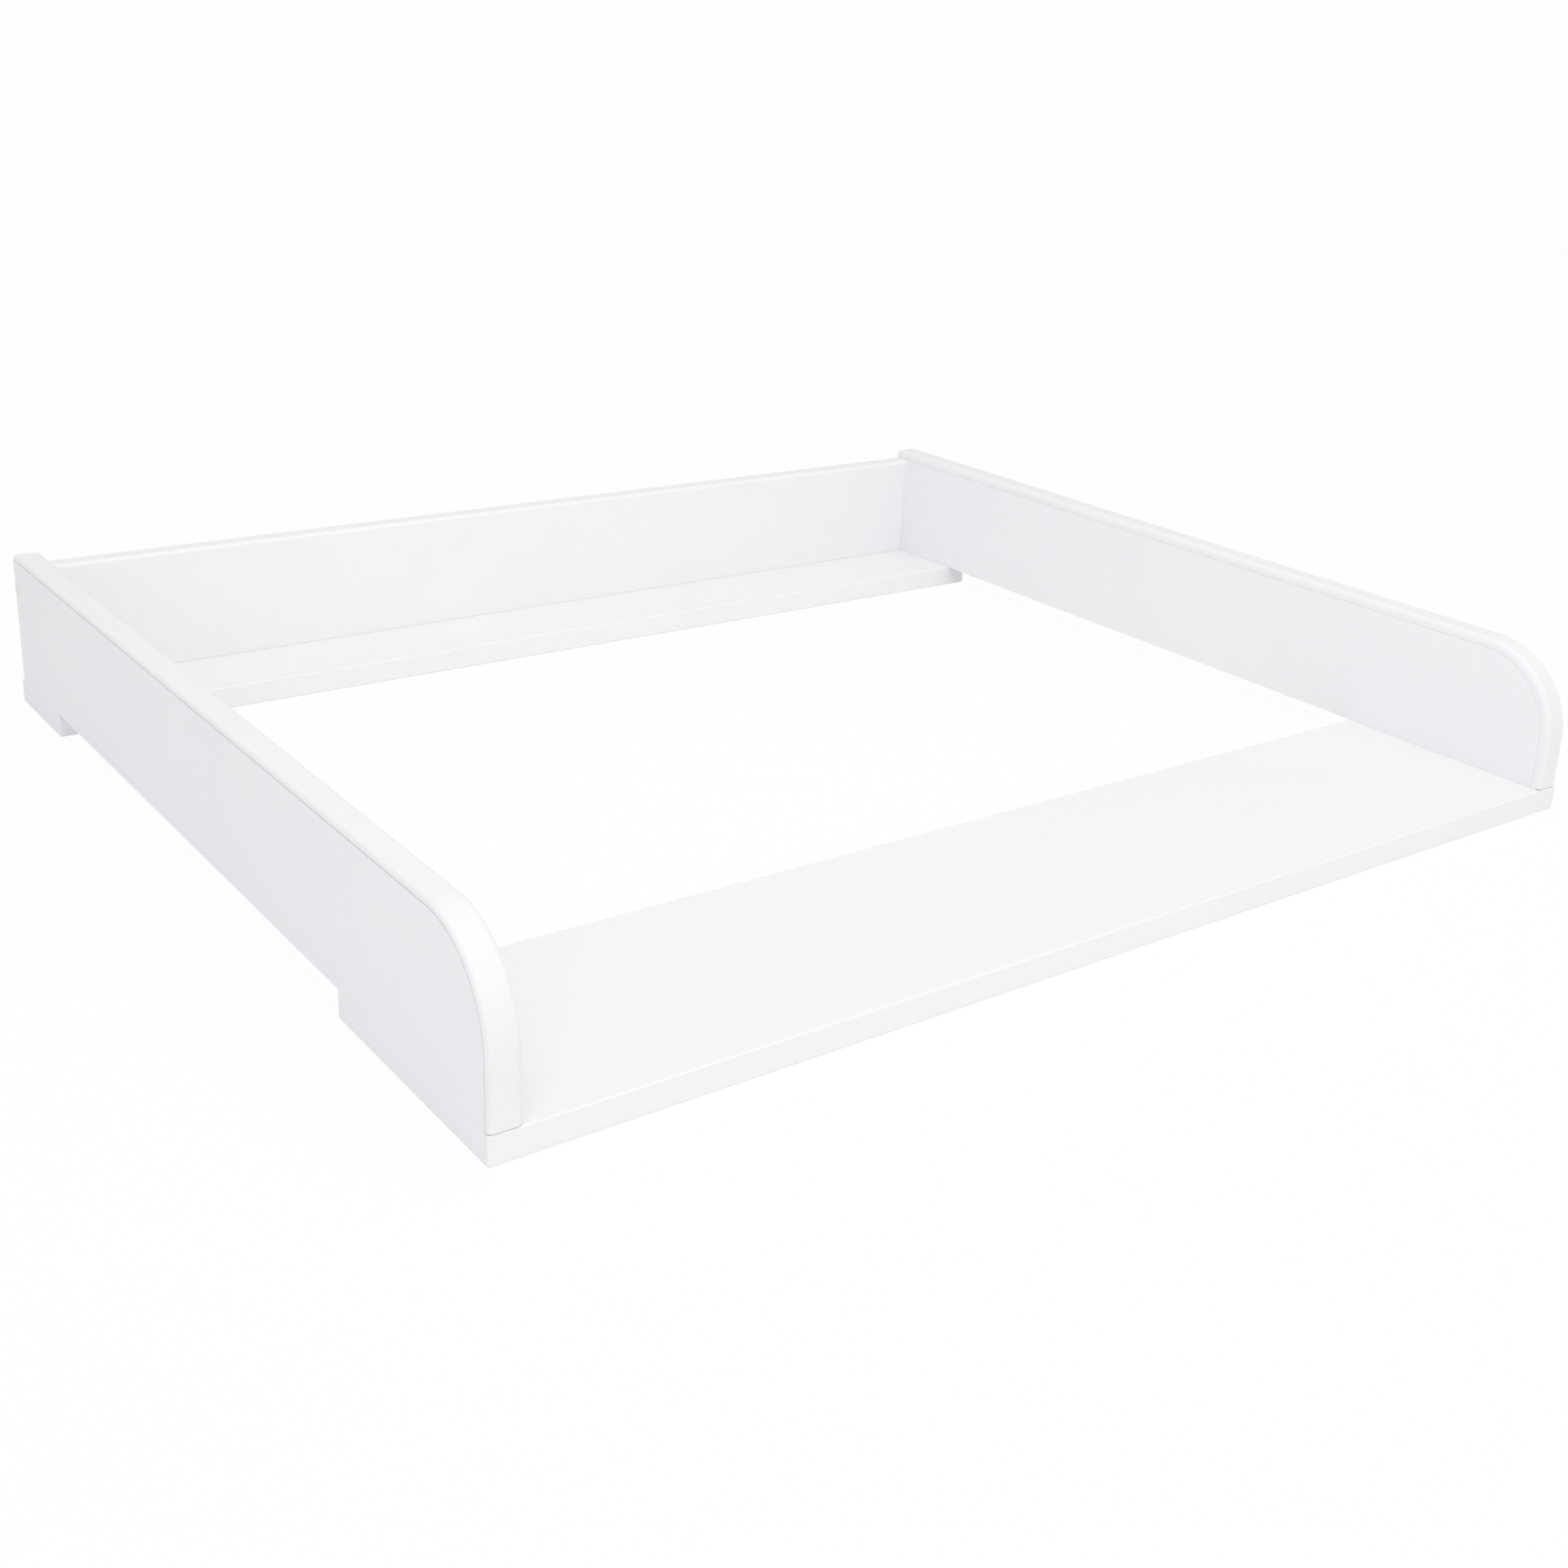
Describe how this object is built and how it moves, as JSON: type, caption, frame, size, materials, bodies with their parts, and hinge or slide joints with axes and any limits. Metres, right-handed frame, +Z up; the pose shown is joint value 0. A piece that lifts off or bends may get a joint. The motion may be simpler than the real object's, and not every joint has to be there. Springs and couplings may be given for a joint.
{
  "type": "changing table top",
  "caption": "Open lacquered board frame that turns a chest of drawers into a baby changing table, with side and back boards around the mat space.",
  "frame": {"origin": "middle of the footprint, on the underside of the base boards", "axes": "+X to the right along the width, +Y from the open front to the back board, +Z up"},
  "size_m": [0.8, 0.7, 0.108],
  "materials": {
    "lacquer": "satin white lacquer on fibreboard",
    "steel": "zinc plated",
    "edging": "satin white edge band",
    "cap": "matt white",
    "beech": "plain beech"
  },
  "bodies": {
    "root": {"front_base_board": "lacquer", "rear_base_strip": "lacquer", "left_side_board": "lacquer", "right_side_board": "lacquer", "back_board": "lacquer", "front_left_screws": "steel", "front_right_screws": "steel", "rear_left_screw": "steel", "rear_right_screw": "steel", "strip_to_back_screws": "steel", "left_back_screw": "steel", "right_back_screw": "steel", "left_edge_band": "edging", "right_edge_band": "edging", "left_screw_cap": "cap", "right_screw_cap": "cap", "front_left_dowel": "beech", "front_right_dowel": "beech", "rear_left_dowel": "beech", "rear_right_dowel": "beech", "strip_to_back_dowels": "beech", "left_back_dowel": "beech", "right_back_dowel": "beech"}
  },
  "joints": []
}
